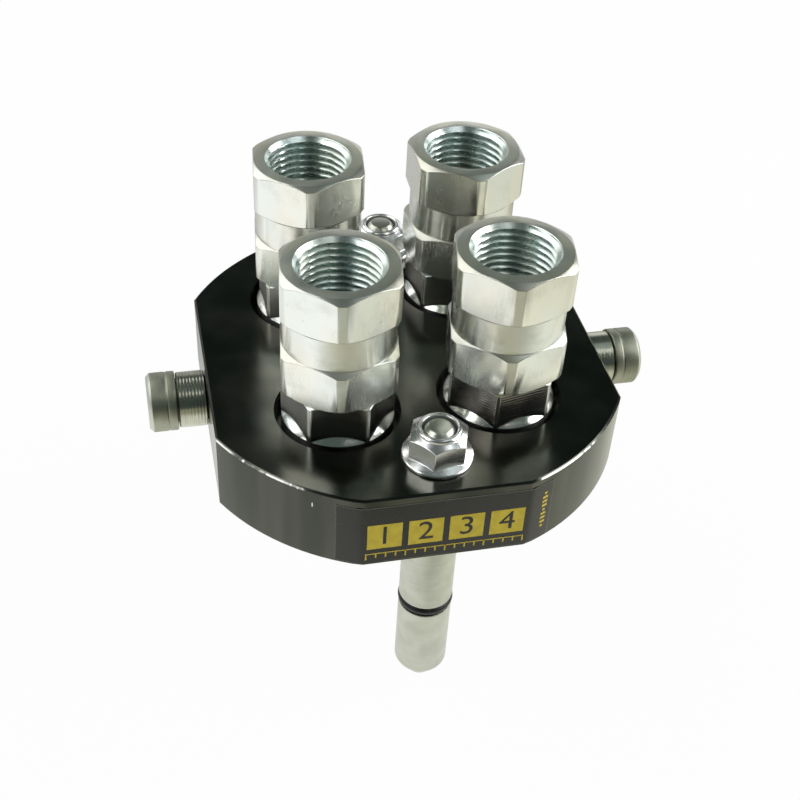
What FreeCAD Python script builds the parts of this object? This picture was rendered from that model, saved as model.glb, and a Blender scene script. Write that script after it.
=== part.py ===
import FreeCAD, Part
import math
import os

# Mobile half of a four-line hydraulic multi-coupling, in millimetres.
# Origin: the disc's centre on the plate's underside, the face that meets the other half.
# +Z runs up through the ports, -Y is the flat front, +X the right-hand side pin.

# Plate
plate_diameter = 114.0
plate_thickness = 21.2
side_flat_distance = 49.8
front_flat_distance = 53.6
plate_edge_chamfer = 0.5

# Where the couplers and the guide pins stand
coupler_spacing_x = 40.0
coupler_spacing_y = 45.4
layout_offset_y = 1.2
guide_pin_spacing = 84.6
rear_guide_pin_offset = 3.3

# Coupler body in the plate
shank_diameter = 23.0
shank_clearance = 0.05
collar_diameter = 27.2
counterbore_gap = 1.7
counterbore_depth = 4.0
body_hex_flats = 24.0
body_height = 10.7
nose_diameter = 19.7
nose_length = 15.0
nose_chamfer = 1.2
valve_bore_diameter = 12.6
valve_land_length = 6.5
chamber_diameter = 16.4
guide_seat_height = 16.6
guide_bore_diameter = 18.5

# Port adapter
adapter_bar_diameter = 30.0
adapter_hex_flats = 27.0
adapter_neck_diameter = 26.8
adapter_lower_hex = 11.6
adapter_neck_length = 8.2
adapter_upper_hex = 11.8
hex_chamfer_angle = 30.0
port_bore_diameter = 18.63
port_mouth_diameter = 21.2
port_depth = 16.0
flow_bore_diameter = 12.0
joint_thread_diameter = 20.0
joint_thread_length = 6.2
thread_gap = 0.05
joint_relief = 0.4

# Valve, its guide and its spring
valve_stem_diameter = 5.0
valve_stem_spare = 1.0
valve_stem_fillet = 1.0
valve_stem_chamfer = 0.5
valve_flange_diameter = 15.0
valve_flange_thickness = 1.6
valve_travel = 6.0
valve_clearance = 0.05
guide_thickness = 3.0
guide_rim = 1.3
guide_hub_diameter = 8.6
guide_arm_width = 2.2
guide_arms = 3
spring_wire_diameter = 1.3
spring_coil_diameter = 11.4
spring_turns = 6.5

# O-rings
valve_seal_cord = 1.8
valve_seal_height = 3.2
joint_seal_cord = 1.5
joint_seal_height = 1.6
guide_pin_seal_cord = 2.3
guide_pin_seal_depth = 27.2
guide_pin_seal_proud = 0.2
seal_side_room = 0.3
seal_play = 0.02

# How far a cut runs past the surface it opens
reach = 1.0

# Retaining ring
retaining_ring_thickness = 1.2
retaining_ring_width = 2.5
retaining_groove_depth = 0.55
retaining_ring_play = 0.1
retaining_ring_gap_angle = 50.0
retaining_ring_ear = 4.4
retaining_ring_ear_hole = 1.8
retaining_recess_depth = 3.0
retaining_recess_room = 0.9

# Guide pins and their nuts
guide_pin_diameter = 13.6
guide_pin_length = 56.4
guide_pin_taper_length = 5.3
guide_pin_end_diameter = 6.0
guide_pin_shoulder = 0.5
guide_pin_seat_depth = 3.0
guide_pin_seat_gap = 0.05
stud_diameter = 8.0
stud_hole_gap = 0.25
stud_projection = 9.0
stud_chamfer = 1.35
nut_height = 8.9
nut_flats = 12.9
nut_flange_diameter = 16.9
nut_flange_edge = 1.0
nut_flange_slope = 26.0
nut_corner_height = 6.6
nut_cone_angle = 30.0
nut_collar_diameter = 10.6
nut_collar_wall = 0.6
nut_lip_diameter = 8.3
nut_lip_thickness = 0.5
insert_height = 1.9
insert_bore_gap = 0.05

# Side pins and their rollers
side_pin_projection = 14.7
side_head_diameter = 15.0
side_head_length = 4.9
side_head_chamfer = 1.0
side_band_length = 2.3
side_band_step = 0.25
side_journal_diameter = 11.0
side_thread_diameter = 10.0
side_thread_length = 14.0
side_thread_chamfer = 1.0
side_hole_spare = 2.0
side_socket_flats = 6.0
side_socket_depth = 5.0
roller_diameter = 14.1
roller_bore_gap = 0.05
roller_end_gap = 0.2
roller_chamfer = 0.3

# Where each coupler stands, and how far its two hexes are turned about its axis, in degrees
couplers = {
    "front_left": {"side": -1, "end": -1, "adapter_turn": -97.8, "body_turn": -129.2},
    "front_right": {"side": 1, "end": -1, "adapter_turn": -100.7, "body_turn": -108.4},
    "rear_left": {"side": -1, "end": 1, "adapter_turn": -96.4, "body_turn": -148.0},
    "rear_right": {"side": 1, "end": 1, "adapter_turn": -87.8, "body_turn": -142.7},
}
guide_pins = {"front": (0.0, -1), "rear": (rear_guide_pin_offset, 1)}
nut_turns = {"front": 10.9, "rear": 38.0}
side_pins = {"left": -1, "right": 1}

# Levels along Z that more than one piece shares
plate_top = plate_thickness
counterbore_floor = plate_top - counterbore_depth
body_top = plate_top + body_height
nose_end = -nose_length
valve_land_top = nose_end + valve_land_length
guide_top = guide_seat_height + guide_thickness
spigot_end = guide_top + joint_relief
side_axis_height = plate_thickness / 2

up = FreeCAD.Vector(0, 0, 1)


def point(x, y, z):
    return FreeCAD.Vector(x, y, z)


def turned(profile):
    """A solid turned about Z from (radius, height) points given in order round the section."""
    points = [point(r, 0, z) for r, z in profile]
    section = Part.Face(Part.makePolygon(points + [points[0]]))
    return section.revolve(point(0, 0, 0), up, 360)


def cylinder(radius, bottom, top):
    return Part.makeCylinder(radius, top - bottom, point(0, 0, bottom))


def hexagon(flats, bottom, top):
    """A hexagonal bar across the given flats, with a corner on +X."""
    corner = flats / 2 / math.cos(math.radians(30))
    points = [point(corner * math.cos(math.radians(a)), corner * math.sin(math.radians(a)), bottom)
              for a in range(0, 361, 60)]
    return Part.Face(Part.makePolygon(points)).extrude(point(0, 0, top - bottom))


def turned_hex(flats, corner_radius, bottom, top, bottom_slope, top_slope):
    """A hexagonal length of a turned bar, its corners cut back at the ends by the given slopes."""
    inner = flats / 2 * 0.985
    drop = corner_radius - inner
    blank = turned([
        (0, bottom),
        (inner, bottom),
        (corner_radius, bottom + drop * bottom_slope),
        (corner_radius, top - drop * top_slope),
        (inner, top),
        (0, top),
    ])
    return blank.common(hexagon(flats, bottom, top))


def o_ring(shaft_radius, proud, cord, height):
    """An O-ring in its groove in a shaft, standing proud of the shaft by the given height."""
    inner = shaft_radius + proud - cord + seal_play
    return Part.makeTorus(inner + cord / 2, cord / 2, point(0, 0, height), up)


def seal_groove(shaft_radius, proud, cord, height):
    """The ring of material that an O-ring's groove takes out of a shaft."""
    half_width = cord / 2 + seal_side_room
    floor = shaft_radius + proud - cord
    return turned([
        (floor, height - half_width),
        (shaft_radius + reach, height - half_width),
        (shaft_radius + reach, height + half_width),
        (floor, height + half_width),
    ])


def coupler_place(coupler):
    x = coupler["side"] * coupler_spacing_x / 2
    y = coupler["end"] * coupler_spacing_y / 2 + layout_offset_y
    return x, y


def guide_pin_place(which):
    x, end = guide_pins[which]
    return x, end * guide_pin_spacing / 2 + layout_offset_y


def plate():
    """The black plate: a disc with flats, stepped holes for the couplers and pins, tapped sides."""
    radius = plate_diameter / 2
    chamfer = plate_edge_chamfer
    disc = turned([
        (0, 0),
        (radius - chamfer, 0),
        (radius, chamfer),
        (radius, plate_top - chamfer),
        (radius - chamfer, plate_top),
        (0, plate_top),
    ])
    blank = Part.makeBox(2 * side_flat_distance, front_flat_distance + plate_diameter, plate_thickness,
                         point(-side_flat_distance, -front_flat_distance, 0))
    long_edges = [edge for edge in blank.Edges if abs(edge.Vertexes[0].Z - edge.Vertexes[-1].Z) < 1e-6]
    body = disc.common(blank.makeChamfer(chamfer, long_edges))
    cuts = []
    for coupler in couplers.values():
        x, y = coupler_place(coupler)
        hole = cylinder(shank_diameter / 2 + shank_clearance, -reach, plate_top + reach)
        hole = hole.fuse(cylinder(collar_diameter / 2 + counterbore_gap, counterbore_floor, plate_top + reach))
        hole = hole.fuse(cylinder(retaining_recess_radius(), -reach, retaining_recess_depth))
        cuts.append(hole.translated(point(x, y, 0)))
    for which in guide_pins:
        x, y = guide_pin_place(which)
        hole = cylinder(stud_diameter / 2 + stud_hole_gap, -reach, plate_top + reach)
        hole = hole.fuse(cylinder(guide_pin_diameter / 2 + guide_pin_seat_gap, -reach, guide_pin_seat_depth))
        cuts.append(hole.translated(point(x, y, 0)))
    for side in side_pins.values():
        depth = side_thread_length + side_hole_spare
        start = point(side * (side_flat_distance - depth), 0, side_axis_height)
        cuts.append(Part.makeCylinder(side_thread_diameter / 2 + thread_gap, depth + reach, start, point(side, 0, 0)))
    return body.cut(cuts)


def retaining_recess_radius():
    groove = shank_diameter / 2 - retaining_groove_depth
    return groove + max(retaining_ring_width, retaining_ring_ear) + retaining_recess_room


def retaining_ring_top():
    return retaining_recess_depth - retaining_ring_play


def coupler_body():
    """Hexagon and collar above the plate, shank through it, and the male nose below it."""
    shank = shank_diameter / 2
    collar = collar_diameter / 2
    nose = nose_diameter / 2
    flat = body_hex_flats / 2
    groove_floor = shank - retaining_groove_depth
    groove_top = retaining_ring_top() + retaining_ring_play / 2
    groove_bottom = groove_top - retaining_ring_thickness - retaining_ring_play
    top_drop = (collar - flat) * math.tan(math.radians(hex_chamfer_angle))
    outside = turned([
        (0, nose_end),
        (nose - nose_chamfer, nose_end),
        (nose, nose_end + 2 * nose_chamfer),
        (nose, -nose_chamfer / 2),
        (shank - nose_chamfer / 2, 0),
        (shank, nose_chamfer / 2),
        (shank, groove_bottom),
        (groove_floor, groove_bottom),
        (groove_floor, groove_top),
        (shank, groove_top),
        (shank, counterbore_floor),
        (collar, counterbore_floor),
        (collar, body_top - top_drop),
        (flat, body_top),
        (0, body_top),
    ])
    # The flats run out in a 45 degree cone just above the collar.
    run_out = turned([
        (0, nose_end - reach),
        (collar + reach, nose_end - reach),
        (collar + reach, plate_top),
        (collar, plate_top),
        (flat - reach, plate_top + collar - flat + reach),
        (0, plate_top + collar - flat + reach),
    ])
    outside = outside.common(run_out.fuse(hexagon(body_hex_flats, plate_top, body_top)))
    joint = joint_thread_diameter / 2 + thread_gap
    pilot = guide_bore_diameter / 2
    chamber = chamber_diameter / 2
    land = valve_bore_diameter / 2
    inside = turned([
        (0, nose_end - reach),
        (land, nose_end - reach),
        (land, valve_land_top),
        (chamber, valve_land_top + chamber - land),
        (chamber, guide_seat_height),
        (pilot, guide_seat_height),
        (pilot, body_top - joint_thread_length - joint_relief),
        (joint, body_top - joint_thread_length - joint_relief),
        (joint, body_top + reach),
        (0, body_top + reach),
    ])
    return outside.cut(inside)


def port_adapter():
    """Two hexagons with a round neck between them, a threaded port on top and a spigot below."""
    bar = adapter_bar_diameter / 2
    slope = math.tan(math.radians(hex_chamfer_angle))
    lower_top = body_top + adapter_lower_hex
    upper_bottom = lower_top + adapter_neck_length
    top = upper_bottom + adapter_upper_hex
    lower_hex = turned_hex(adapter_hex_flats, bar, body_top, lower_top, slope, slope)
    upper_hex = turned_hex(adapter_hex_flats, bar, upper_bottom, top, slope, slope)
    neck = cylinder(adapter_neck_diameter / 2, lower_top - reach, upper_bottom + reach)
    pilot = guide_bore_diameter / 2 - thread_gap
    joint = joint_thread_diameter / 2
    spigot = turned([
        (0, spigot_end),
        (pilot - joint_relief, spigot_end),
        (pilot, spigot_end + joint_relief),
        (pilot, body_top - joint_thread_length),
        (joint, body_top - joint_thread_length + joint - pilot),
        (joint, body_top + reach),
        (0, body_top + reach),
    ])
    groove = seal_groove(pilot, 0, joint_seal_cord, spigot_end + joint_seal_height)
    outside = lower_hex.fuse([neck, upper_hex, spigot]).cut(groove)
    port = port_bore_diameter / 2
    mouth = port_mouth_diameter / 2
    flow = flow_bore_diameter / 2
    inside = turned([
        (0, spigot_end - reach),
        (flow, spigot_end - reach),
        (flow, top - port_depth - (port - flow) * slope),
        (port, top - port_depth),
        (port, top - mouth + port),
        (mouth, top),
        (mouth, top + reach),
        (0, top + reach),
    ])
    return outside.cut(inside).removeSplitter()


def valve():
    """The flat-face valve: head in the nose, conical flange on its seat, stem up into the guide."""
    head = valve_bore_diameter / 2 - valve_clearance
    flange = valve_flange_diameter / 2
    stem = valve_stem_diameter / 2
    seat = valve_land_top + valve_clearance
    flange_bottom = seat + flange - head
    flange_top = flange_bottom + valve_flange_thickness
    stem_end = guide_top + valve_stem_spare
    shape = turned([
        (0, nose_end),
        (head, nose_end),
        (head, seat),
        (flange, flange_bottom),
        (flange, flange_top),
        (stem + valve_stem_fillet, flange_top),
        (stem, flange_top + valve_stem_fillet),
        (stem, stem_end - valve_stem_chamfer),
        (stem - valve_stem_chamfer, stem_end),
        (0, stem_end),
    ])
    return shape.cut(seal_groove(head, 0, valve_seal_cord, nose_end + valve_seal_height))


def valve_flange_top():
    rise = (valve_flange_diameter - valve_bore_diameter) / 2 + valve_clearance
    return valve_land_top + valve_clearance + rise + valve_flange_thickness


def valve_guide():
    """A rim on the body's step, and arms that carry the hub round the valve's stem."""
    outer = guide_bore_diameter / 2 - thread_gap
    inner = chamber_diameter / 2 - guide_rim
    hub = guide_hub_diameter / 2
    bore = valve_stem_diameter / 2 + valve_clearance
    rim = cylinder(outer, guide_seat_height, guide_top).cut(cylinder(inner, guide_seat_height - reach, guide_top + reach))
    arms = []
    for number in range(guide_arms):
        arm = Part.makeBox(inner + guide_rim / 2, guide_arm_width, guide_thickness,
                           point(0, -guide_arm_width / 2, guide_seat_height))
        arms.append(arm.rotated(point(0, 0, 0), up, number * 360 / guide_arms))
    frame = rim.fuse(arms + [cylinder(hub, guide_seat_height, guide_top)])
    return frame.cut(cylinder(bore, guide_seat_height - reach, guide_top + reach)).removeSplitter()


def valve_spring():
    """A coil between the valve's flange and the guide, its ends resting on both."""
    wire = spring_wire_diameter / 2
    bottom = valve_flange_top() + wire
    top = guide_seat_height - wire
    coil = spring_coil_diameter / 2
    path = Part.makeHelix((top - bottom) / spring_turns, top - bottom, coil)
    section = Part.Wire(Part.makeCircle(wire, point(coil, 0, 0), point(0, 1, 0)))
    return Part.Wire(path).makePipeShell([section], True, True).translated(point(0, 0, bottom))


def retaining_ring():
    """An open spring ring in the shank's groove, with two ears for the pliers."""
    inner = shank_diameter / 2 - retaining_groove_depth
    outer = inner + retaining_ring_width
    top = retaining_ring_top()
    bottom = top - retaining_ring_thickness
    ring = cylinder(outer, bottom, top)
    ears = []
    holes = []
    half_gap = math.radians(retaining_ring_gap_angle / 2)
    ear_radius = retaining_ring_ear / 2
    for side in (-1, 1):
        angle = side * (half_gap + ear_radius / outer)
        x = (inner + ear_radius) * math.cos(angle)
        y = (inner + ear_radius) * math.sin(angle)
        ears.append(cylinder(ear_radius, bottom, top).translated(point(x, y, 0)))
        holes.append(cylinder(retaining_ring_ear_hole / 2, bottom - reach, top + reach).translated(point(x, y, 0)))
    far = outer + retaining_ring_ear
    wedge = Part.makePolygon([
        point(0, 0, bottom - reach),
        point(far, -far * math.tan(half_gap), bottom - reach),
        point(far, far * math.tan(half_gap), bottom - reach),
        point(0, 0, bottom - reach),
    ])
    gap = Part.Face(wedge).extrude(point(0, 0, retaining_ring_thickness + 2 * reach))
    ring = ring.fuse(ears).cut([cylinder(inner, bottom - reach, top + reach), gap] + holes)
    return ring.removeSplitter()


def guide_pin():
    """Stud up through the plate, shoulder in its underside, shaft with a groove and a tapered end."""
    radius = guide_pin_diameter / 2
    stud = stud_diameter / 2 - thread_gap
    stud_end = plate_top + stud_projection
    tip = -guide_pin_length
    shape = turned([
        (0, tip),
        (guide_pin_end_diameter / 2, tip),
        (radius - guide_pin_shoulder, tip + guide_pin_taper_length - guide_pin_shoulder),
        (radius, tip + guide_pin_taper_length + guide_pin_shoulder),
        (radius, guide_pin_seat_depth),
        (stud, guide_pin_seat_depth),
        (stud, stud_end - stud_chamfer),
        (stud - stud_chamfer, stud_end),
        (0, stud_end),
    ])
    return shape.cut(seal_groove(radius, guide_pin_seal_proud, guide_pin_seal_cord, -guide_pin_seal_depth))


def guide_pin_seal():
    return o_ring(guide_pin_diameter / 2, guide_pin_seal_proud, guide_pin_seal_cord, -guide_pin_seal_depth)


def flange_nut():
    """A hexagon nut on a conical flange, its round collar crimped over the locking insert."""
    base = plate_top
    flange = nut_flange_diameter / 2
    corner = nut_flats / 2 / math.cos(math.radians(30))
    collar = nut_collar_diameter / 2
    lip = nut_lip_diameter / 2
    edge = nut_flange_edge
    top = base + nut_height
    flange_rise = math.tan(math.radians(nut_flange_slope))
    cone_rise = math.tan(math.radians(nut_cone_angle))
    corner_top = base + nut_corner_height
    skirt = turned([
        (0, base),
        (flange - edge / 4, base),
        (flange, base + edge / 4),
        (flange, base + edge * 3 / 4),
        (flange - edge / 4, base + edge),
        (collar, base + edge + (flange - edge / 4 - collar) * flange_rise),
        (0, base + edge + (flange - edge / 4 - collar) * flange_rise),
    ])
    hexagonal = turned([
        (0, base),
        (corner, base),
        (corner, corner_top),
        (collar, corner_top + (corner - collar) * cone_rise),
        (0, corner_top + (corner - collar) * cone_rise),
    ]).common(hexagon(nut_flats, base, top))
    crimp = (collar - lip) / 3
    rim = turned([
        (0, base + edge),
        (collar, base + edge),
        (collar, top - 1.4 * crimp),
        (collar - crimp, top - crimp / 3),
        (collar - 2 * crimp, top),
        (lip, top - crimp / 2),
        (0, top - crimp / 2),
    ])
    thread = cylinder(stud_diameter / 2, base - reach, top + reach)
    mouth = cylinder(lip, top - 2 * nut_lip_thickness, top + reach)
    seat = cylinder(collar - nut_collar_wall, insert_bottom(), insert_bottom() + insert_height)
    return skirt.fuse([hexagonal, rim]).cut([thread, mouth, seat]).removeSplitter()


def insert_bottom():
    return plate_top + nut_height - nut_lip_thickness - insert_height - (nut_collar_diameter - nut_lip_diameter) / 12


def nut_insert():
    """The ring of plastic in the nut's collar that grips the stud."""
    outer = nut_collar_diameter / 2 - nut_collar_wall
    bottom = insert_bottom()
    inner = stud_diameter / 2
    return turned([
        (inner, bottom),
        (outer, bottom),
        (outer, bottom + insert_height),
        (inner + insert_bore_gap, bottom + insert_height),
    ])


def side_pin():
    """Head, band, journal for the roller and thread, turned about Z with the plate's flat at zero."""
    head = side_head_diameter / 2
    end = side_pin_projection
    band_top = end - side_head_length
    band_bottom = band_top - side_band_length
    journal = side_journal_diameter / 2
    thread = side_thread_diameter / 2
    step = side_band_step
    shape = turned([
        (0, -side_thread_length),
        (thread - side_thread_chamfer, -side_thread_length),
        (thread, side_thread_chamfer - side_thread_length),
        (thread, 0),
        (journal, 0),
        (journal, band_bottom),
        (head - step, band_bottom),
        (head, band_bottom + step),
        (head, band_top - step),
        (head - step, band_top),
        (head, band_top + step),
        (head, end - side_head_chamfer),
        (head - side_head_chamfer, end),
        (0, end),
    ])
    return shape.cut(hexagon(side_socket_flats, end - side_socket_depth, end + reach))


def side_roller():
    """The loose sleeve between the plate and the pin's head."""
    outer = roller_diameter / 2
    bore = side_journal_diameter / 2 + roller_bore_gap
    bottom = roller_end_gap
    top = side_pin_projection - side_head_length - side_band_length - roller_end_gap
    chamfer = roller_chamfer
    return turned([
        (bore, bottom),
        (outer - chamfer, bottom),
        (outer, bottom + chamfer),
        (outer, top - chamfer),
        (outer - chamfer, top),
        (bore, top),
    ])


def on_side(shape, side):
    """Lays a shape turned about Z along X, standing out from the plate's flat on that side."""
    laid = shape.rotated(point(0, 0, 0), point(0, 1, 0), side * 90)
    return laid.translated(point(side * side_flat_distance, 0, side_axis_height))


def build():
    parts = {"plate": plate()}
    valve_head = valve_bore_diameter / 2 - valve_clearance
    joint_pilot = guide_bore_diameter / 2 - thread_gap
    pieces = {
        "port_adapter": (port_adapter(), "adapter_turn"),
        "coupler_body": (coupler_body(), "body_turn"),
        "valve": (valve(), None),
        "valve_seal": (o_ring(valve_head, 0, valve_seal_cord, nose_end + valve_seal_height), None),
        "valve_guide": (valve_guide(), "body_turn"),
        "valve_spring": (valve_spring(), None),
        "joint_seal": (o_ring(joint_pilot, 0, joint_seal_cord, spigot_end + joint_seal_height), None),
        "retaining_ring": (retaining_ring(), "body_turn"),
    }
    for where, coupler in couplers.items():
        x, y = coupler_place(coupler)
        for name, (shape, turn) in pieces.items():
            angle = coupler[turn] if turn else 0
            parts[f"{name}_{where}"] = shape.rotated(point(0, 0, 0), up, angle).translated(point(x, y, 0))
    nuts = []
    inserts = []
    for which in guide_pins:
        x, y = guide_pin_place(which)
        place = point(x, y, 0)
        parts[f"guide_pin_{which}"] = guide_pin().translated(place)
        parts[f"guide_pin_seal_{which}"] = guide_pin_seal().translated(place)
        nuts.append(flange_nut().rotated(point(0, 0, 0), up, nut_turns[which]).translated(place))
        inserts.append(nut_insert().translated(place))
    parts["flange_nuts"] = Part.makeCompound(nuts)
    parts["nut_inserts"] = Part.makeCompound(inserts)
    for which, side in side_pins.items():
        parts[f"side_pin_{which}"] = on_side(side_pin(), side)
        parts[f"side_roller_{which}"] = on_side(side_roller(), side)
    return parts


os.makedirs("parts", exist_ok=True)
for name, shape in build().items():
    shape.exportStep(f"parts/{name}.step")
    print(name, len(shape.Solids), round(shape.Volume, 1), shape.isValid())
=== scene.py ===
import math
import bmesh
import bpy
from mathutils import Matrix, Vector


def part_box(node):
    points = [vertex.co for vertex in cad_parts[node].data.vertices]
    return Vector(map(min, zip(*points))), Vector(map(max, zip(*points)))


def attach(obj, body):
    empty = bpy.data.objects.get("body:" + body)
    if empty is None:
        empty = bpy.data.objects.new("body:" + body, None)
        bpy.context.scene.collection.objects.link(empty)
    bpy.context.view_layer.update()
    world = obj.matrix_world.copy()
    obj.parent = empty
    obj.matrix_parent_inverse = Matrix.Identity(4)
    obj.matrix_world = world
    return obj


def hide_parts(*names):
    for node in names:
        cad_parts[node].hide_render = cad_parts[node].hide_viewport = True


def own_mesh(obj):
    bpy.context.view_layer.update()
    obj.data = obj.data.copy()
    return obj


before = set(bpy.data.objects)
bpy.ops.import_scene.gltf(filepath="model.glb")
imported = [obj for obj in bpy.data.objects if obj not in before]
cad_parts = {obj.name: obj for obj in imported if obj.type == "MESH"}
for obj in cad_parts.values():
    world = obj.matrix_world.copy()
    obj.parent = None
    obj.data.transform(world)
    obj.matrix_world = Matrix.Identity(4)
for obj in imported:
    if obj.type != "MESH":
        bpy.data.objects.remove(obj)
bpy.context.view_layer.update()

# Lengths are in millimetres until a shape is made; MM brings them to the frame's metres.
MM = 0.001
COUPLERS = ("front_left", "front_right", "rear_left", "rear_right")
COUPLER_X = 20.0
FRONT_Y = -21.5
REAR_Y = 23.9
PLATE_RADIUS = 57.0
PLATE_TOP = 21.2
FRONT_FLAT = 53.6
FLAT_REACH = math.sqrt(PLATE_RADIUS ** 2 - FRONT_FLAT ** 2)
COUNTERBORE_RADIUS = 15.3
COUNTERBORE_FLOOR = 17.2
BODY_APOTHEM = 12.0
BODY_TOP = 31.9
HEX_APOTHEM = 13.5
ADAPTER_TOP = 63.5
NEAR_TOP = ADAPTER_TOP - 1.0
GUIDE_PIN_TIP = -56.4
SIDE_PIN_END = 64.5

# The pipe thread in each port, and the steps it is made in.
PORT_DEPTH = 16.0
MOUTH_RADIUS = 10.6
CREST_RADIUS = 9.315
THREAD_DEPTH = 1.162
THREAD_PITCH = 1.814
THREAD_RUN_OUT = 14.3
THREAD_SHARPNESS = 0.93
FIRST_STEP = 0.03
MOUTH_STEP = 0.15
MOUTH_STEPS = 13
THREAD_STEP = 0.1512
STEPS_AROUND = 128

# The label's ends and its row of dashes are bearings round the plate, in degrees.
LABEL_LEFT = -116.7
LABEL_RIGHT = -63.1
LABEL_LOW = 1.1
LABEL_HIGH = 18.9
LABEL_PACKING = 0.15
LABEL_PROUD = 0.07
PRINT_PROUD = 0.1
FIGURE_PROUD = 0.13
FIGURE_SIZE = 8.2
FIELD_PITCH = 9.7
FIELD_WIDTH = 8.2
FIELD_TALL = 7.8
FIELD_HEIGHT = 9.4
RULE_HEIGHT = 3.9
RULE_TALL = 0.3
TICK_HEIGHT = 3.1
TICK_WIDTH = 0.35
TICK_TALL = 1.3
LONG_TICK_TALL = 2.0
TICK_SPREAD = 0.97
DASH_BEARING = -65.4
DASH_HEIGHT = 4.8
DASH_PITCH = 1.35
DASH_WIDTH = 1.5
SHORT_DASH_WIDTH = 0.7
DASH_TALL = 0.75

# Edges that turn more than BROKEN_EDGE degrees may be broken; those that turn less than SMOOTH_EDGE are shaded round.
BROKEN_EDGE = 20
SMOOTH_EDGE = 16

# Where each finish stands in the list that an adapter or a body is given.
FLATS, ROUNDS, TOP_FACE, THREAD, CONES = range(5)


class Channel:
    """One output in a material. Sums, products and comparisons add the nodes that work them out."""

    def __init__(self, finish, socket):
        self.finish = finish
        self.socket = socket

    def worked(self, operation, first, second=None):
        return self.finish.node("ShaderNodeMath", {"operation": operation}, {0: first, 1: second})

    def __add__(self, other):
        return self.worked("ADD", self, other)

    def __radd__(self, other):
        return self.worked("ADD", other, self)

    def __sub__(self, other):
        return self.worked("SUBTRACT", self, other)

    def __rsub__(self, other):
        return self.worked("SUBTRACT", other, self)

    def __mul__(self, other):
        return self.worked("MULTIPLY", self, other)

    def __rmul__(self, other):
        return self.worked("MULTIPLY", other, self)

    def __truediv__(self, other):
        return self.worked("DIVIDE", self, other)

    def __gt__(self, other):
        return self.worked("GREATER_THAN", self, other)

    def __lt__(self, other):
        return self.worked("LESS_THAN", self, other)

    def size(self):
        return self.worked("ABSOLUTE", self)

    def root(self):
        return self.worked("SQRT", self)

    def wave(self):
        return self.worked("SINE", self)

    def most(self, other):
        return self.worked("MAXIMUM", self, other)

    def bearing(self, x):
        """Degrees round Z, from this channel's y and the given x."""
        return self.worked("ARCTAN2", self, x) * (180 / math.pi)

    def rise(self, low, high):
        """0 below low, 1 above high, and smooth between them."""
        return self.finish.node("ShaderNodeMapRange", {"interpolation_type": "SMOOTHSTEP"},
                                {"Value": self, "From Min": low, "From Max": high})

    def within(self, low, high, soft):
        """1 between low and high, and 0 outside them by more than soft."""
        return self.rise(low - soft, low) * (1 - self.rise(high, high + soft))


class Finish:
    """A material under construction. Its pattern coordinates are the row frame's, in millimetres."""

    def __init__(self, name, use_world=False):
        if use_world:
            self.data = bpy.data.worlds.new(name)
        else:
            self.data = bpy.data.materials.new(name)
        self.data.use_nodes = True
        self.tree = self.data.node_tree
        self.tree.nodes.clear()

    def node(self, kind, settings=None, inputs=None, output=0):
        """Adds a node with its settings, then its inputs' values or links, and gives the output asked for."""
        made = self.tree.nodes.new(kind)
        for name, value in (settings or {}).items():
            setattr(made, name, value)
        for name, value in (inputs or {}).items():
            if isinstance(value, Channel):
                self.tree.links.new(value.socket, made.inputs[name])
            elif value is not None:
                made.inputs[name].default_value = value
        return Channel(self, made.outputs[output]) if made.outputs else None

    def place(self, stretch=(1.0, 1.0, 1.0)):
        """The point being shaded, in millimetres, stretched for a pattern."""
        coordinates = self.node("ShaderNodeTexCoord", output="Object")
        return self.node("ShaderNodeMapping", {"vector_type": "POINT"},
                         {"Vector": coordinates, "Scale": tuple(s / MM for s in stretch)})

    def axes(self):
        """The point's x, y and z in millimetres."""
        point = self.place()
        return [self.node("ShaderNodeSeparateXYZ", None, {0: point}, number) for number in range(3)]

    def joined(self, x, y, z):
        return self.node("ShaderNodeCombineXYZ", None, {0: x, 1: y, 2: z})

    def noise(self, vector, scale, detail=2.0, roughness=0.5):
        return self.node("ShaderNodeTexNoise", None,
                         {"Vector": vector, "Scale": scale, "Detail": detail, "Roughness": roughness})

    def cells(self, vector, scale):
        return self.node("ShaderNodeTexVoronoi", None, {"Vector": vector, "Scale": scale}, "Distance")

    def blend(self, factor, first, second):
        return self.node("ShaderNodeMix", {"data_type": "RGBA"}, {0: factor, 6: first, 7: second}, 2)

    def relief(self, height, strength, distance):
        return self.node("ShaderNodeBump", None,
                         {"Height": height, "Strength": strength, "Distance": distance * MM})

    def shown(self, shader, output="ShaderNodeOutputMaterial"):
        """Links the shader to the output and gives the finished material or world."""
        self.node(output, None, {"Surface": shader})
        return self.data

    def surface(self, sockets):
        return self.shown(self.node("ShaderNodeBsdfPrincipled", None, sockets))


def colour(red, green, blue):
    return (red, green, blue, 1.0)


def from_coupler_axis(x, y):
    """Offsets from the nearest coupler's axis. Those of the left pair are mirrored onto the right pair's."""
    rear = y > (FRONT_Y + REAR_Y) / 2
    return x.size() - COUPLER_X, y - FRONT_Y - rear * (REAR_Y - FRONT_Y)


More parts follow.
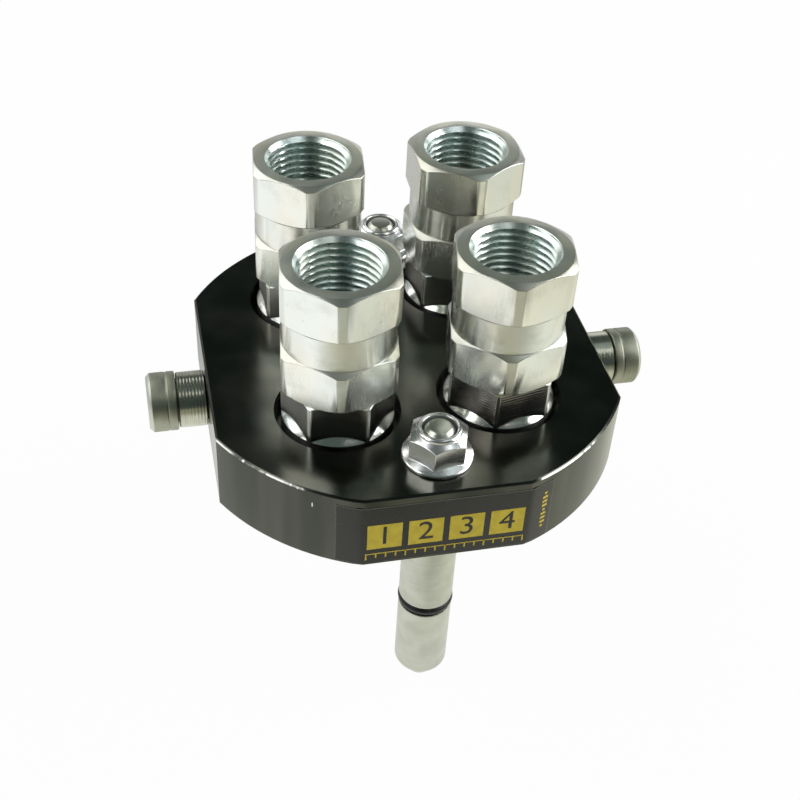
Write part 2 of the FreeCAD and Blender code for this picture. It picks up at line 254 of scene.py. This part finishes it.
def zinc(name, marks, roughness, painted_brightness=1.0, drawn_out=0.0, cast=(1.0, 1.0, 1.0)):
    """Bright zinc plating over steel with the marks of its making: drawn, turned, faced, milled, or else plain."""
    finish = Finish(name)
    x, y, z = finish.axes()
    patches = finish.noise(finish.place(), 0.16, 3.0)
    tint = finish.noise(finish.place((1.0, 1.0, 0.6)), 0.09, 2.0)
    fine = finish.noise(finish.place(), 2.4, 3.0)
    if marks == "drawn":
        lines = finish.noise(finish.place((1.0, 1.0, 0.08)), 3.2, 3.0)
        pits = finish.noise(finish.place((1.0, 1.0, 0.6)), 2.6, 4.0, 0.7).rise(0.56, 0.72)
        height = lines * 0.2 + fine * 0.4 - pits * 0.3
        normal = finish.relief(height, 0.14, 0.05)
    elif marks == "turned":
        lines = finish.noise(finish.joined(z * 5.0, x * 0.02, y * 0.02), 1.0, 3.0)
        normal = finish.relief(lines + fine * 0.05, 0.2, 0.06)
    elif marks == "faced":
        across, along = from_coupler_axis(x, y)
        radius = (across * across + along * along).root()
        lines = finish.noise(finish.joined(radius * 4.0, 0.0, z * 0.2), 1.0, 3.0)
        normal = finish.relief(lines + fine * 0.4, 0.3, 0.04)
    elif marks == "milled":
        across, along = from_coupler_axis(x, y)
        outermost_left = (-1 * x).rise(28.0, 30.0)
        roughness = roughness + 0.2 * outermost_left
        slant = (x < 0.0) * (y < 0.0) * 1.1
        cutter_step = 0.75
        ridge = (z + slant * across) * (2 * math.pi / cutter_step)
        lines = finish.noise(finish.place((0.25, 0.25, 2.0)), 1.2, 2.0)
        normal = finish.relief((ridge + lines * 4).wave() * 0.5 + fine * 0.4, 0.3, 0.05)
    else:
        lines = finish.noise(finish.place((0.6, 0.6, 4.0)), 1.0, 2.0)
        normal = finish.relief(lines + fine * 0.5, 0.2, 0.03)
    # The brightness given to each finish paints light or shade into the plating's colour: below 1 painted shade,
    # above 1 painted light.
    bright = painted_brightness * 0.98
    red, green, blue = (bright * part for part in cast)
    warm = colour(red * 0.98, green * 0.97, blue * 0.88)
    cool = colour(red * 0.94, green * 0.98, blue * 0.95)
    base = finish.blend(tint.rise(0.36, 0.64), warm, cool)
    stain = patches.rise(0.5, 0.8) * 0.25
    if marks == "drawn":
        stain = stain + pits * 0.14
    base = finish.blend(stain, base, colour(bright * 0.55, bright * 0.53, bright * 0.48))
    return finish.surface({
        "Base Color": base,
        "Metallic": 1.0,
        "Roughness": roughness + (patches - 0.5) * 0.16 + (lines - 0.5) * 0.1,
        "Anisotropic": drawn_out,
        "Anisotropic Rotation": 0.25 if drawn_out else 0.0,
        "Normal": normal,
    })


def wear_mask(finish, x, y, z):
    """Bare metal along the plate's upper edge, the nicks in it and the scratch below it."""
    radius = (x * x + y * y).root()
    bearing = y.bearing(x)
    broken = finish.noise(finish.place(), 0.55, 3.0)
    left = bearing.within(-152, -147, 4) * 0.8 + bearing.within(-142, -133, 4) * 0.3
    left = left + bearing.within(-133, -125, 2) * 0.5
    right = bearing.within(-66, -56, 3) * 0.8 + bearing.within(-56, -49, 4) * 0.4
    off_label = 1 - bearing.within(-121, -67, 2)
    elsewhere = finish.noise(finish.place(), 0.045, 1.0).rise(0.5, 0.62) * 0.45 * off_label
    amount = (left + right).most(elsewhere)
    edge = z.within(PLATE_TOP - 0.58, PLATE_TOP - 0.3, 0.12) * (radius > PLATE_RADIUS - 0.5)
    worn = edge * (amount * 1.25 - broken).rise(-0.2, 0.25)
    # Bearing round the plate, height, width along the edge and length up it of each nick and of the scratch.
    for angle, height, width, length in (
        (-141.3, 20.85, 0.55, 0.45),
        (-127.8, 20.8, 0.6, 0.5),
        (-126.0, 20.7, 0.45, 0.4),
        (-122.3, 16.9, 0.22, 0.85),
        (-63.3, 18.7, 0.25, 0.25),
        (-50.5, 20.6, 0.6, 0.5),
        (42.0, 20.7, 0.5, 0.5),
        (118.0, 20.7, 0.45, 0.4),
    ):
        where = math.radians(angle)
        reach_x = (x - PLATE_RADIUS * math.cos(where)) / width
        reach_y = (y - PLATE_RADIUS * math.sin(where)) / width
        reach_z = (z - height) / length
        reach = (reach_x * reach_x + reach_y * reach_y + reach_z * reach_z).root()
        worn = worn.most(1 - (reach + (broken - 0.5) * 0.8).rise(0.55, 1.0))
    return worn


def black_coating():
    """Satin black coating on the turned and milled plate, worn bare along its upper edge, with painted reflections
    streaked up its walls and painted shade in the counterbores.
    """
    finish = Finish("black_coating")
    x, y, z = finish.axes()
    radius = (x * x + y * y).root()
    chamfer = 0.55
    side = 1 - z.within(chamfer, PLATE_TOP - chamfer, 0.05)
    cloud = finish.noise(finish.place(), 0.07, 3.0)
    fine = finish.noise(finish.place(), 3.5, 2.0)
    swept = finish.noise(finish.joined(z * 3.0, x * 0.05, y * 0.05), 1.0, 3.0)
    faced = finish.noise(finish.joined(radius * 2.0, 0.0, z * 0.1), 1.0, 3.0)
    lines = side * faced + (1 - side) * swept
    bare = wear_mask(finish, x, y, z)
    # Painted reflections: slow streaks round the plate's walls stand in for the paper reflected in the coating.
    painted_reflection_bands = finish.noise(finish.joined(x * 0.1, y * 0.1, z * 0.01), 1.0, 2.0)
    shade = (cloud * side + painted_reflection_bands * (1 - side)).rise(0.35, 0.65)
    coat = finish.blend(shade, colour(0.068, 0.074, 0.062), colour(0.115, 0.114, 0.098))
    # Painted shade: inside each counterbore the coating is darkened almost to black.
    across, along = from_coupler_axis(x, y)
    from_axis = (across * across + along * along).root()
    painted_counterbore_shade = 1 - from_axis.rise(COUNTERBORE_RADIUS - 0.02, COUNTERBORE_RADIUS + 0.04)
    coat = finish.blend(painted_counterbore_shade * 0.8, coat, colour(0.012, 0.012, 0.01))
    base = finish.blend(bare, coat, colour(0.80, 0.80, 0.76))
    normal = finish.relief(lines * 0.6 + fine * 0.4 - bare * 1.5, 0.16, 0.04)
    return finish.surface({
        "Base Color": base,
        "Metallic": 1.0,
        "Roughness": 0.2 + (cloud - 0.5) * 0.12 + (lines - 0.5) * 0.08 + bare * 0.15,
        "Normal": normal,
    })


def label_film():
    """The label's glossy black film, with the pale rim it was cut with."""
    finish = Finish("label_film")
    x, y, z = finish.axes()
    waves = finish.noise(finish.place((1.0, 1.0, 0.7)), 0.25, 2.0)
    fine = finish.noise(finish.place(), 1.8, 2.0)
    rubbing_and_painted_highlight = finish.noise(finish.place((1.0, 1.0, 3.0)), 0.6, 3.0).rise(0.6, 0.8)
    past_ends = 1 - y.bearing(x).within(LABEL_LEFT + 0.25, LABEL_RIGHT - 0.25, 0.1)
    rim = z.rise(LABEL_HIGH - 0.3, LABEL_HIGH - 0.2).most(past_ends)
    body = finish.blend(rubbing_and_painted_highlight * 0.4, colour(0.018, 0.017, 0.014), colour(0.05, 0.047, 0.038))
    return finish.surface({
        "Base Color": finish.blend(rim * 0.8, body, colour(0.16, 0.16, 0.14)),
        "Roughness": 0.26 + (fine - 0.5) * 0.1 + rubbing_and_painted_highlight * 0.1,
        "Specular IOR Level": 0.55,
        "Normal": finish.relief(waves + fine * 0.1, 0.15, 0.2),
    })


def label_ink():
    """Yellow printing ink, a little worn and speckled."""
    finish = Finish("label_ink")
    patches = finish.noise(finish.place(), 0.5, 3.0)
    specks = finish.cells(finish.place(), 2.2).rise(0.02, 0.12)
    full = patches.rise(0.3, 0.7) * specks
    return finish.surface({
        "Base Color": finish.blend(full, colour(0.80, 0.60, 0.03), colour(0.92, 0.70, 0.045)),
        "Roughness": 0.38 + (patches - 0.5) * 0.12,
        "Normal": finish.relief(patches + specks * 0.3, 0.1, 0.03),
    })


def steel(name, base, roughness, along, pitch, groove, spread):
    """Bare steel with tool marks round the given axis, with a painted highlight on a side pin's end, and darker
    towards a guide pin's tip.
    """
    finish = Finish(name)
    x, y, z = finish.axes()
    distance = {"x": x, "z": z}[along]
    others = {"x": (y, z), "z": (x, y)}[along]
    fine = finish.noise(finish.place(), 2.6, 3.0)
    cloud = finish.noise(finish.place(), 0.22, 3.0)
    lines = finish.noise(finish.joined(distance * 4.5, others[0] * 0.03, others[1] * 0.03), 1.0, 3.0)
    ridges = (distance * (2 * math.pi / pitch)).wave() * 0.5 + 0.5
    dark = colour(base[0] * (1 - spread * 2.5), base[1] * (1 - spread * 2.4), base[2] * (1 - spread * 2.6))
    tint = finish.blend((cloud * 0.6 + lines * 0.4).rise(0.35, 0.7), colour(*base), dark)
    if along == "x":
        # Painted highlight: the outer end of a side pin is lightened towards a pale steel colour.
        rubbing_and_painted_highlight = x.size().rise(SIDE_PIN_END - 1.2, SIDE_PIN_END - 0.9) * 0.6
        tint = finish.blend(rubbing_and_painted_highlight, tint, colour(0.94, 0.96, 0.88))
    else:
        tint = finish.blend((-1 * z).rise(-GUIDE_PIN_TIP - 10.4, -GUIDE_PIN_TIP - 0.4) * 0.8, tint, dark)
    normal = finish.relief(ridges * groove + lines * 0.5 + fine * 0.1, 0.45, 0.1)
    return finish.surface({
        "Base Color": tint,
        "Metallic": 1.0,
        "Roughness": roughness + (cloud - 0.5) * 0.14 + (lines - 0.5) * 0.12,
        "Normal": normal,
    })


def nitrile():
    """The seals' black rubber."""
    finish = Finish("nitrile")
    fine = finish.noise(finish.place(), 4.0, 3.0)
    bloom = finish.noise(finish.place(), 0.5, 2.0)
    return finish.surface({
        "Base Color": finish.blend(bloom.rise(0.4, 0.8), colour(0.012, 0.012, 0.012), colour(0.03, 0.03, 0.028)),
        "Roughness": 0.42 + (bloom - 0.5) * 0.2,
        "Normal": finish.relief(fine, 0.15, 0.03),
    })


def locking_insert():
    """The grey nylon ring that locks a nut on its stud."""
    finish = Finish("locking_insert")
    fine = finish.noise(finish.place(), 2.0, 3.0)
    return finish.surface({
        "Base Color": finish.blend(fine, colour(0.13, 0.145, 0.135), colour(0.2, 0.215, 0.2)),
        "Roughness": 0.4 + (fine - 0.5) * 0.2,
        "Normal": finish.relief(fine, 0.2, 0.05),
    })


def phosphate():
    """The retaining rings' dark grained coating."""
    finish = Finish("phosphate")
    grain = finish.cells(finish.place(), 6.0)
    cloud = finish.noise(finish.place(), 0.6, 3.0)
    return finish.surface({
        "Base Color": finish.blend(cloud, colour(0.04, 0.04, 0.042), colour(0.10, 0.10, 0.10)),
        "Metallic": 0.6,
        "Roughness": 0.5 + (grain - 0.4) * 0.2,
        "Normal": finish.relief(grain, 0.2, 0.02),
    })


def joined_copy(node):
    """A copy of a CAD node's mesh with its triangles joined and its flat faces whole."""
    shape = bmesh.new()
    shape.from_mesh(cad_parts[node].data)
    bmesh.ops.remove_doubles(shape, verts=shape.verts, dist=0.001 * MM)
    bmesh.ops.dissolve_limit(shape, angle_limit=math.radians(0.4), verts=shape.verts, edges=shape.edges)
    return shape


def axis_of(node):
    """The middle of a node's outline seen from above, on the plane of the plate's underside."""
    low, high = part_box(node)
    return Vector(((low.x + high.x) / 2, (low.y + high.y) / 2, 0))


def edge_turn(edge):
    """Degrees by which the surface turns over the edge."""
    return math.degrees(edge.calc_face_angle(0.0)) if len(edge.link_faces) == 2 else 0.0


def break_edges(shape, width, chosen=lambda edge: True):
    """Takes the sharpness off the chosen edges, as tumbling before plating does."""
    edges = [edge for edge in shape.edges if edge_turn(edge) > BROKEN_EDGE and chosen(edge)]
    bmesh.ops.bevel(shape, geom=edges, offset=width * MM, offset_type="OFFSET", segments=2, profile=0.5,
                    affect="EDGES", clamp_overlap=False, material=-1)


def set_out(shape, name, finishes, body, nodes=()):
    """Makes the finished object: smooth turned faces, sharp corners, its finishes and body."""
    for face in shape.faces:
        face.smooth = True
    for edge in shape.edges:
        edge.smooth = edge_turn(edge) < SMOOTH_EDGE
    mesh = bpy.data.meshes.new(name)
    shape.to_mesh(mesh)
    shape.free()
    for finish in finishes:
        mesh.materials.append(finish)
    piece = bpy.data.objects.new(name, mesh)
    bpy.context.scene.collection.objects.link(piece)
    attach(piece, body)
    if nodes:
        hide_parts(*nodes)
    return piece


def paint(node, finish):
    """Gives a CAD node that is shown as it is its finish."""
    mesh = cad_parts[node].data
    mesh.materials.clear()
    mesh.materials.append(finish)


def thread_radius(depth, angle):
    """The pipe thread's radius at a depth below the port's face, inside its countersunk mouth."""
    turn = 2 * math.pi * depth / THREAD_PITCH + angle
    wave = math.asin(THREAD_SHARPNESS * math.sin(turn)) / math.asin(THREAD_SHARPNESS)
    fade = min(1.0, max(0.0, (PORT_DEPTH - depth) / (PORT_DEPTH - THREAD_RUN_OUT)))
    cut = CREST_RADIUS + THREAD_DEPTH * (0.5 + 0.5 * wave) * fade
    return max(cut, MOUTH_RADIUS - depth)


def open_rims(shape):
    """The open edges round the port's mouth, and those round its floor."""
    rims = [edge for edge in shape.edges if edge.is_boundary]
    upper = [edge for edge in rims if edge.verts[0].co.z > NEAR_TOP * MM]
    return upper, [edge for edge in rims if edge.verts[0].co.z < NEAR_TOP * MM]


def cut_thread(shape, centre):
    """Replaces the plain port by one with its thread: a spun tube pressed out to the thread's form."""
    floor = (ADAPTER_TOP - PORT_DEPTH) * MM
    plain = []
    for face in shape.faces:
        middle = face.calc_center_median()
        radius = math.hypot(middle.x - centre.x, middle.y - centre.y) / MM
        if middle.z > floor + 0.01 * MM and radius < MOUTH_RADIUS and abs(face.normal.z) < 0.9:
            plain.append(face)
    bmesh.ops.delete(shape, geom=plain, context="FACES")

    mouth = [MOUTH_STEP * step for step in range(1, MOUTH_STEPS + 1)]
    depths = [FIRST_STEP] + mouth
    while depths[-1] + THREAD_STEP < PORT_DEPTH:
        depths.append(mouth[-1] + THREAD_STEP * (len(depths) - MOUTH_STEPS))
    start = centre.x + MOUTH_RADIUS * MM
    line = [shape.verts.new((start, centre.y, (ADAPTER_TOP - depth) * MM)) for depth in depths]
    strip = [shape.edges.new(pair) for pair in zip(line, line[1:])]
    before = set(shape.faces)
    bmesh.ops.spin(shape, geom=line + strip, cent=centre, axis=(0, 0, 1), angle=2 * math.pi, steps=STEPS_AROUND,
                   use_merge=True)
    tube = [face for face in shape.faces if face not in before]
    for vert in {vert for face in tube for vert in face.verts}:
        angle = math.atan2(vert.co.y - centre.y, vert.co.x - centre.x)
        radius = thread_radius(ADAPTER_TOP - vert.co.z / MM, angle) * MM
        vert.co.x = centre.x + radius * math.cos(angle)
        vert.co.y = centre.y + radius * math.sin(angle)
    for rims in open_rims(shape):
        bmesh.ops.bridge_loops(shape, edges=rims)
    bmesh.ops.recalc_face_normals(shape, faces=shape.faces)
    for face in tube:
        face.material_index = THREAD


def outer_edges(centre, radius, level):
    """A test for the edges that stand outside the radius and above the level."""
    def outside(edge):
        middle = (edge.verts[0].co + edge.verts[1].co) / 2
        return math.hypot(middle.x - centre.x, middle.y - centre.y) > radius * MM and middle.z > level * MM

    return outside


def on_flat(face, centre, apothem):
    """True for a face that lies in one of the hexagon's flats."""
    middle = face.calc_center_median() - centre
    upright = abs(face.normal.z) < 0.05
    reach = middle.x * face.normal.x + middle.y * face.normal.y
    return upright and abs(reach / MM - apothem) < 0.03


def port_adapter(where, finishes):
    """The adapter with broken outer edges, the thread in its port, and a finish for each way it was machined."""
    node = f"port_adapter_{where}"
    shape = joined_copy(node)
    centre = axis_of(node)
    break_edges(shape, 0.12, outer_edges(centre, HEX_APOTHEM - 1.5, BODY_TOP + 0.6))
    shape.normal_update()
    for face in shape.faces:
        if on_flat(face, centre, HEX_APOTHEM):
            face.material_index = FLATS
        elif face.normal.z > 0.95 and face.calc_center_median().z > NEAR_TOP * MM:
            face.material_index = TOP_FACE
        else:
            face.material_index = CONES if 0.2 < abs(face.normal.z) < 0.95 else ROUNDS
    cut_thread(shape, centre)
    set_out(shape, f"threaded_adapter_{where}", finishes, "root", [node])


def coupler_body(where, finishes):
    """The coupler's body with broken edges above the counterbore's floor, milled flats and turned rounds."""
    node = f"coupler_body_{where}"
    shape = joined_copy(node)
    centre = axis_of(node)
    break_edges(shape, 0.1, outer_edges(centre, BODY_APOTHEM - 0.3, COUNTERBORE_FLOOR + 0.1))
    shape.normal_update()
    for face in shape.faces:
        face.material_index = FLATS if on_flat(face, centre, BODY_APOTHEM) else ROUNDS
    set_out(shape, f"hex_body_{where}", finishes, "root", [node])


def dressed(node, name, finish, body, width=0.0):
    """A CAD node in its finish, its edges broken by the width."""
    shape = joined_copy(node)
    if width:
        break_edges(shape, width)
    shape.normal_update()
    return set_out(shape, name, [finish], body, [node])


def valve_spring(where, finish):
    """The coiled wire, given a mesh of its own; the real spring shortens against its upper seat as the valve lifts.
    """
    coil = dressed(f"valve_spring_{where}", f"coiled_wire_{where}", finish, "root")
    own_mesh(coil)


def plate(finish):
    """The plate, its front flat set back by the label's thickness."""
    shape = joined_copy("plate")
    behind_edge = (-FRONT_FLAT + 0.6) * MM
    for vert in shape.verts:
        if vert.co.y < behind_edge and abs(vert.co.x) < (FLAT_REACH + 1.0) * MM:
            vert.co.y += LABEL_PACKING * MM
    set_out(shape, "coated_plate", [finish], "root", ["plate"])


def front_path(proud):
    """Points along the plate's front, from the left arc over the flat to the right arc."""
    radius = PLATE_RADIUS + proud
    corner = math.degrees(math.acos(FLAT_REACH / PLATE_RADIUS))
    left_corner, right_corner = corner - 180, -corner

    def on_arc(bearing):
        return radius * math.cos(math.radians(bearing)), radius * math.sin(math.radians(bearing))

    steps = [number / 8 for number in range(8)]
    front = LABEL_PACKING - FRONT_FLAT - proud
    path = [on_arc(LABEL_LEFT + (left_corner - LABEL_LEFT) * step) for step in steps]
    path += [(-FLAT_REACH, front), (FLAT_REACH, front)]
    path += [on_arc(LABEL_RIGHT + (right_corner - LABEL_RIGHT) * step) for step in reversed(steps)]
    return path


def label_sheet(finish):
    """The thin black label round the plate's front."""
    shape = bmesh.new()
    low, high = LABEL_LOW * MM, LABEL_HIGH * MM
    points = [shape.verts.new((x * MM, y * MM, low)) for x, y in front_path(LABEL_PROUD)]
    line = [shape.edges.new(pair) for pair in zip(points, points[1:])]
    risen = bmesh.ops.extrude_edge_only(shape, edges=line)
    for vert in risen["geom"]:
        if isinstance(vert, bmesh.types.BMVert):
            vert.co.z = high
    bmesh.ops.recalc_face_normals(shape, faces=shape.faces)
    for face in shape.faces:
        if face.normal.y > 0:
            face.normal_flip()
    set_out(shape, "number_label", [finish], "root")


def patch(shape, middle, width, height, bearing=-90.0):
    """An upright rectangle of ink that faces the given way."""
    turn = Matrix.Rotation(math.radians(bearing + 90), 4, "Z") @ Matrix.Rotation(math.radians(90), 4, "X")
    made = bmesh.ops.create_grid(shape, x_segments=1, y_segments=1, size=0.5)["verts"]
    bmesh.ops.scale(shape, vec=(width * MM, height * MM, 1), verts=made)
    bmesh.ops.transform(shape, matrix=Matrix.Translation(Vector(middle) * MM) @ turn, verts=made)


def label_print(finish):
    """The yellow fields that hold the ports' numbers, the ticked rule below them and the dashes beside them."""
    shape = bmesh.new()
    front = LABEL_PACKING - FRONT_FLAT - PRINT_PROUD
    for number in range(4):
        patch(shape, (FIELD_PITCH * (number - 1.5), front, FIELD_HEIGHT), FIELD_WIDTH, FIELD_TALL)
    patch(shape, (0, front, RULE_HEIGHT), 3 * FIELD_PITCH + FIELD_WIDTH, RULE_TALL)
    for number in range(17):
        along = FIELD_PITCH / 4 * (number - 8) * TICK_SPREAD
        patch(shape, (along, front, TICK_HEIGHT), TICK_WIDTH, TICK_TALL if number % 4 else LONG_TICK_TALL)
    bearing = math.radians(DASH_BEARING)
    radius = PLATE_RADIUS + PRINT_PROUD
    for number in range(9):
        middle = (radius * math.cos(bearing), radius * math.sin(bearing), DASH_HEIGHT + DASH_PITCH * number)
        patch(shape, middle, DASH_WIDTH if number % 4 else SHORT_DASH_WIDTH, DASH_TALL, DASH_BEARING)
    set_out(shape, "label_print", [finish], "root")


def port_numbers(finish):
    """Plain dark figures in the yellow fields, one for each port."""
    for number in range(4):
        text = bpy.data.curves.new(f"port_number_{number + 1}", "FONT")
        text.body = str(number + 1)
        text.size = FIGURE_SIZE * MM
        text.align_x = "CENTER"
        text.align_y = "CENTER"
        holder = bpy.data.objects.new("figure", text)
        mesh = bpy.data.meshes.new_from_object(holder)
        bpy.data.objects.remove(holder)
        shape = bmesh.new()
        shape.from_mesh(mesh)
        bpy.data.meshes.remove(mesh)
        bmesh.ops.remove_doubles(shape, verts=shape.verts, dist=0.001 * MM)
        front = LABEL_PACKING - FRONT_FLAT - FIGURE_PROUD
        middle = Vector((FIELD_PITCH * (number - 1.5), front, FIELD_HEIGHT)) * MM
        place = Matrix.Translation(middle) @ Matrix.Rotation(math.radians(90), 4, "X")
        bmesh.ops.transform(shape, matrix=place, verts=shape.verts)
        set_out(shape, f"port_number_{number + 1}", [finish], "root")


def paper(name, glow, hue):
    """White paper that shows as white, and to metal as bright and as warm as it stands in the light."""
    finish = Finish(name)
    camera_ray = finish.node("ShaderNodeLightPath", output="Is Camera Ray")
    glossy_ray = finish.node("ShaderNodeLightPath", output="Is Glossy Ray")
    mirrored = glossy_ray.most(finish.node("ShaderNodeLightPath", output="Is Transmission Ray"))
    own_light = 0.97
    lit = finish.node("ShaderNodeBsdfDiffuse", None, {"Color": colour(0.82, 0.82, 0.82)})
    x, y, z = finish.axes()
    seen = finish.blend(glow(x, y), colour(0, 0, 0), hue(finish, x, y))
    white = finish.node("ShaderNodeEmission", None, {
        "Color": finish.blend(camera_ray, seen, colour(1, 1, 1)), "Strength": 1.0})
    share = camera_ray.most(mirrored) * own_light
    return finish.shown(finish.node("ShaderNodeMixShader", None, {0: share, 1: lit, 2: white}))


def front_shade(x, y):
    """0 on the lit paper behind and beside the object, 1 well in front of it, where the room is dim."""
    return (-0.5 * x.size() - y).rise(25.0, 175.0)


def cast_shadow(x, y):
    """Where the object's own shadow from the right lamp lies on the paper."""
    return y.within(-48.0, 75.0, 12.0) * (-1 * x).rise(85.0, 115.0)


def table_glow(x, y):
    """How much light the table gives to metal: less in front, to the right, behind and in the shadow."""
    front = 1 - 0.62 * front_shade(x, y)
    right = 1 - 0.12 * x.rise(0.0, 80.0)
    shadow = 1 - 0.22 * cast_shadow(x, y)
    far_right = 1 - 0.24 * x.rise(100.0, 220.0)
    behind = 1 - 0.5 * y.rise(20.0, 180.0)
    far_left = 1 + 0.2 * (-1 * x).rise(80.0, 130.0) * y.rise(-112.0, -85.0)
    return front * right * shadow * far_right * behind * far_left


def table_hue(finish, x, y):
    """Warmer in front of the object and to its right, as in the light of a room."""
    warmth = front_shade(x, y).most(x.rise(0.0, 60.0) * 0.6)
    return finish.blend(warmth, colour(1, 1, 0.97), colour(1, 1, 0.78))


def backdrop_glow(x, y):
    """The backdrop is lit from the right and dims to the left."""
    return 0.42 + 0.58 * x.rise(-100.0, 260.0)


def backdrop_hue(finish, x, y):
    return colour(1, 1, 1)


def sheet(name, finish, width, length, matrix):
    """A flat sheet of paper round the object, which isn't part of it."""
    shape = bmesh.new()
    bmesh.ops.create_grid(shape, x_segments=1, y_segments=1, size=0.5)
    bmesh.ops.scale(shape, vec=(width, length, 1), verts=shape.verts)
    bmesh.ops.transform(shape, matrix=matrix, verts=shape.verts)
    mesh = bpy.data.meshes.new(name)
    shape.to_mesh(mesh)
    shape.free()
    mesh.materials.append(finish)
    made = bpy.data.objects.new(name, mesh)
    bpy.context.scene.collection.objects.link(made)


def floor_and_backdrop():
    """The table at the guide pins' tips and the paper that rises behind it; sizes and places in metres."""
    table = paper("paper_on_table", table_glow, table_hue)
    sheet("floor", table, 6.0, 6.0, Matrix.Translation((0, 0, GUIDE_PIN_TIP * MM)))
    rising = paper("paper_behind", backdrop_glow, backdrop_hue)
    upright = Matrix.Rotation(math.radians(90), 4, "X")
    sheet("backdrop", rising, 1.8, 0.42, Matrix.Translation((0.1, 0.7, 0.15)) @ upright)


def softbox(name, bearing, elevation, distance, width, height, radiance, hue=(1, 1, 1)):
    """A rectangular studio lamp that faces the object, with the radiance its panel shows.

    Bearing and elevation are in degrees; distance, width and height are in metres.
    """
    lamp = bpy.data.lights.new(name, "AREA")
    lamp.shape = "RECTANGLE"
    lamp.size = width
    lamp.size_y = height
    lamp.color = hue
    lamp.energy = radiance * math.pi * width * height
    around, above = math.radians(bearing), math.radians(elevation)
    away = Vector((math.cos(around) * math.cos(above), math.sin(around) * math.cos(above), math.sin(above)))
    holder = bpy.data.objects.new(name, lamp)
    holder.matrix_world = Matrix.Translation(away * distance) @ away.to_track_quat("Z", "Y").to_matrix().to_4x4()
    holder.visible_camera = False
    bpy.context.scene.collection.objects.link(holder)


def studio():
    """The dim air of the room, its five lamps, the table and the backdrop."""
    world = Finish("studio_air", use_world=True)
    air = world.node("ShaderNodeBackground", None, {"Color": colour(0.76, 1.0, 0.93), "Strength": 0.078})
    bpy.context.scene.world = world.shown(air, "ShaderNodeOutputWorld")
    bpy.context.scene.view_settings.view_transform = "Standard"
    softbox("left_softbox", 148, 41, 0.9, 0.98, 0.86, 1.7)
    softbox("left_strip", 198, 44, 0.9, 0.26, 0.62, 2.6)
    softbox("right_softbox", -5, 29, 0.85, 0.8, 0.42, 5.0)
    softbox("front_strip", -56, 61, 1.2, 0.6, 0.24, 1.6)
    softbox("upper_panel", -5, 66, 0.9, 0.5, 0.34, 0.4, (0.85, 1, 1))
    floor_and_backdrop()


def camera():
    """The camera, where the photograph's own was worked out to stand."""
    place = Vector((-63.097, -249.336, 223.723))
    yaw, pitch, roll = math.radians(-14.3683), math.radians(-40.6366), math.radians(3.5199)
    lens = bpy.data.cameras.new("camera")
    lens.lens = 57.678
    lens.sensor_width = 36.0
    lens.clip_start = 0.01
    lens.clip_end = 20.0
    ahead = Vector((math.sin(-yaw) * math.cos(pitch), math.cos(yaw) * math.cos(pitch), math.sin(pitch)))
    right = ahead.cross(Vector((0, 0, 1))).normalized()
    above = right.cross(ahead)
    across = right * math.cos(roll) + above * math.sin(roll)
    upward = above * math.cos(roll) - right * math.sin(roll)
    holder = bpy.data.objects.new("camera", lens)
    turn = Matrix((across, upward, -ahead)).transposed().to_4x4()
    holder.matrix_world = Matrix.Translation(place * MM) @ turn
    bpy.context.scene.collection.objects.link(holder)
    bpy.context.scene.camera = holder


drawn = zinc("zinc_drawn", "drawn", roughness=0.25, painted_brightness=1.02)
turned = zinc("zinc_turned", "turned", roughness=0.2, drawn_out=0.92)
# Painted light: the faced tops are made brighter than any zinc.
faced = zinc("zinc_faced", "faced", roughness=0.32, painted_brightness=1.1, cast=(1.0, 0.985, 0.88))
# Painted shade: the port threads are darkened, with a teal painted tint.
threaded = zinc("zinc_threaded", "plain", roughness=0.28, painted_brightness=0.76, cast=(0.9, 1.0, 1.0))
# Painted shade: the body flats below the adapters' hexes are darkened.
milled = zinc("zinc_milled", "milled", roughness=0.2, painted_brightness=0.54, cast=(1.0, 0.94, 0.98))
# Painted shade: the adapters' chamfers are darkened.
coned = zinc("zinc_coned", "plain", roughness=0.32, painted_brightness=0.68, cast=(1.0, 0.985, 0.93))
# Painted light: the nuts are brighter than any zinc, with a bluish painted tint.
nut_zinc = zinc("zinc_nut", "plain", roughness=0.25, painted_brightness=1.2, cast=(0.95, 1.0, 1.0))
black = black_coating()
film = label_film()
ink = label_ink()
ground_steel = steel("ground_steel", (0.61, 0.625, 0.545), 0.34, "z", pitch=0.9, groove=0.08, spread=0.06)
turned_steel = steel("turned_steel", (0.44, 0.45, 0.36), 0.46, "x", pitch=0.45, groove=0.15, spread=0.1)
grooved_steel = steel("grooved_steel", (0.60, 0.60, 0.50), 0.24, "x", pitch=0.8, groove=0.5, spread=0.12)
valve_steel = steel("valve_steel", (0.6, 0.6, 0.58), 0.22, "z", pitch=0.6, groove=0.1, spread=0.08)
spring_steel = steel("spring_steel", (0.42, 0.42, 0.42), 0.3, "z", pitch=0.3, groove=0.0, spread=0.1)
rubber = nitrile()
insert = locking_insert()
dark_ring = phosphate()

plate(black)
for where in COUPLERS:
    port_adapter(where, [drawn, turned, faced, threaded, coned])
    coupler_body(where, [milled, turned])
    dressed(f"valve_{where}", f"flat_face_valve_{where}", valve_steel, f"valve_{where}")
    dressed(f"valve_guide_{where}", f"stem_guide_{where}", valve_steel, "root", width=0.12)
    dressed(f"retaining_ring_{where}", f"spring_ring_{where}", dark_ring, "root", width=0.08)
    valve_spring(where, spring_steel)
    paint(f"valve_seal_{where}", rubber)
    paint(f"joint_seal_{where}", rubber)
dressed("flange_nuts", "plated_nuts", nut_zinc, "root", width=0.1)
paint("nut_inserts", insert)
for which in ("front", "rear"):
    dressed(f"guide_pin_{which}", f"tapered_pin_{which}", ground_steel, "root", width=0.2)
    paint(f"guide_pin_seal_{which}", rubber)
for side in ("left", "right"):
    dressed(f"side_pin_{side}", f"shouldered_pin_{side}", turned_steel, "root", width=0.15)
    dressed(f"side_roller_{side}", f"loose_roller_{side}", grooved_steel, f"side_roller_{side}")
label_sheet(film)
label_print(ink)
port_numbers(film)

studio()
camera()
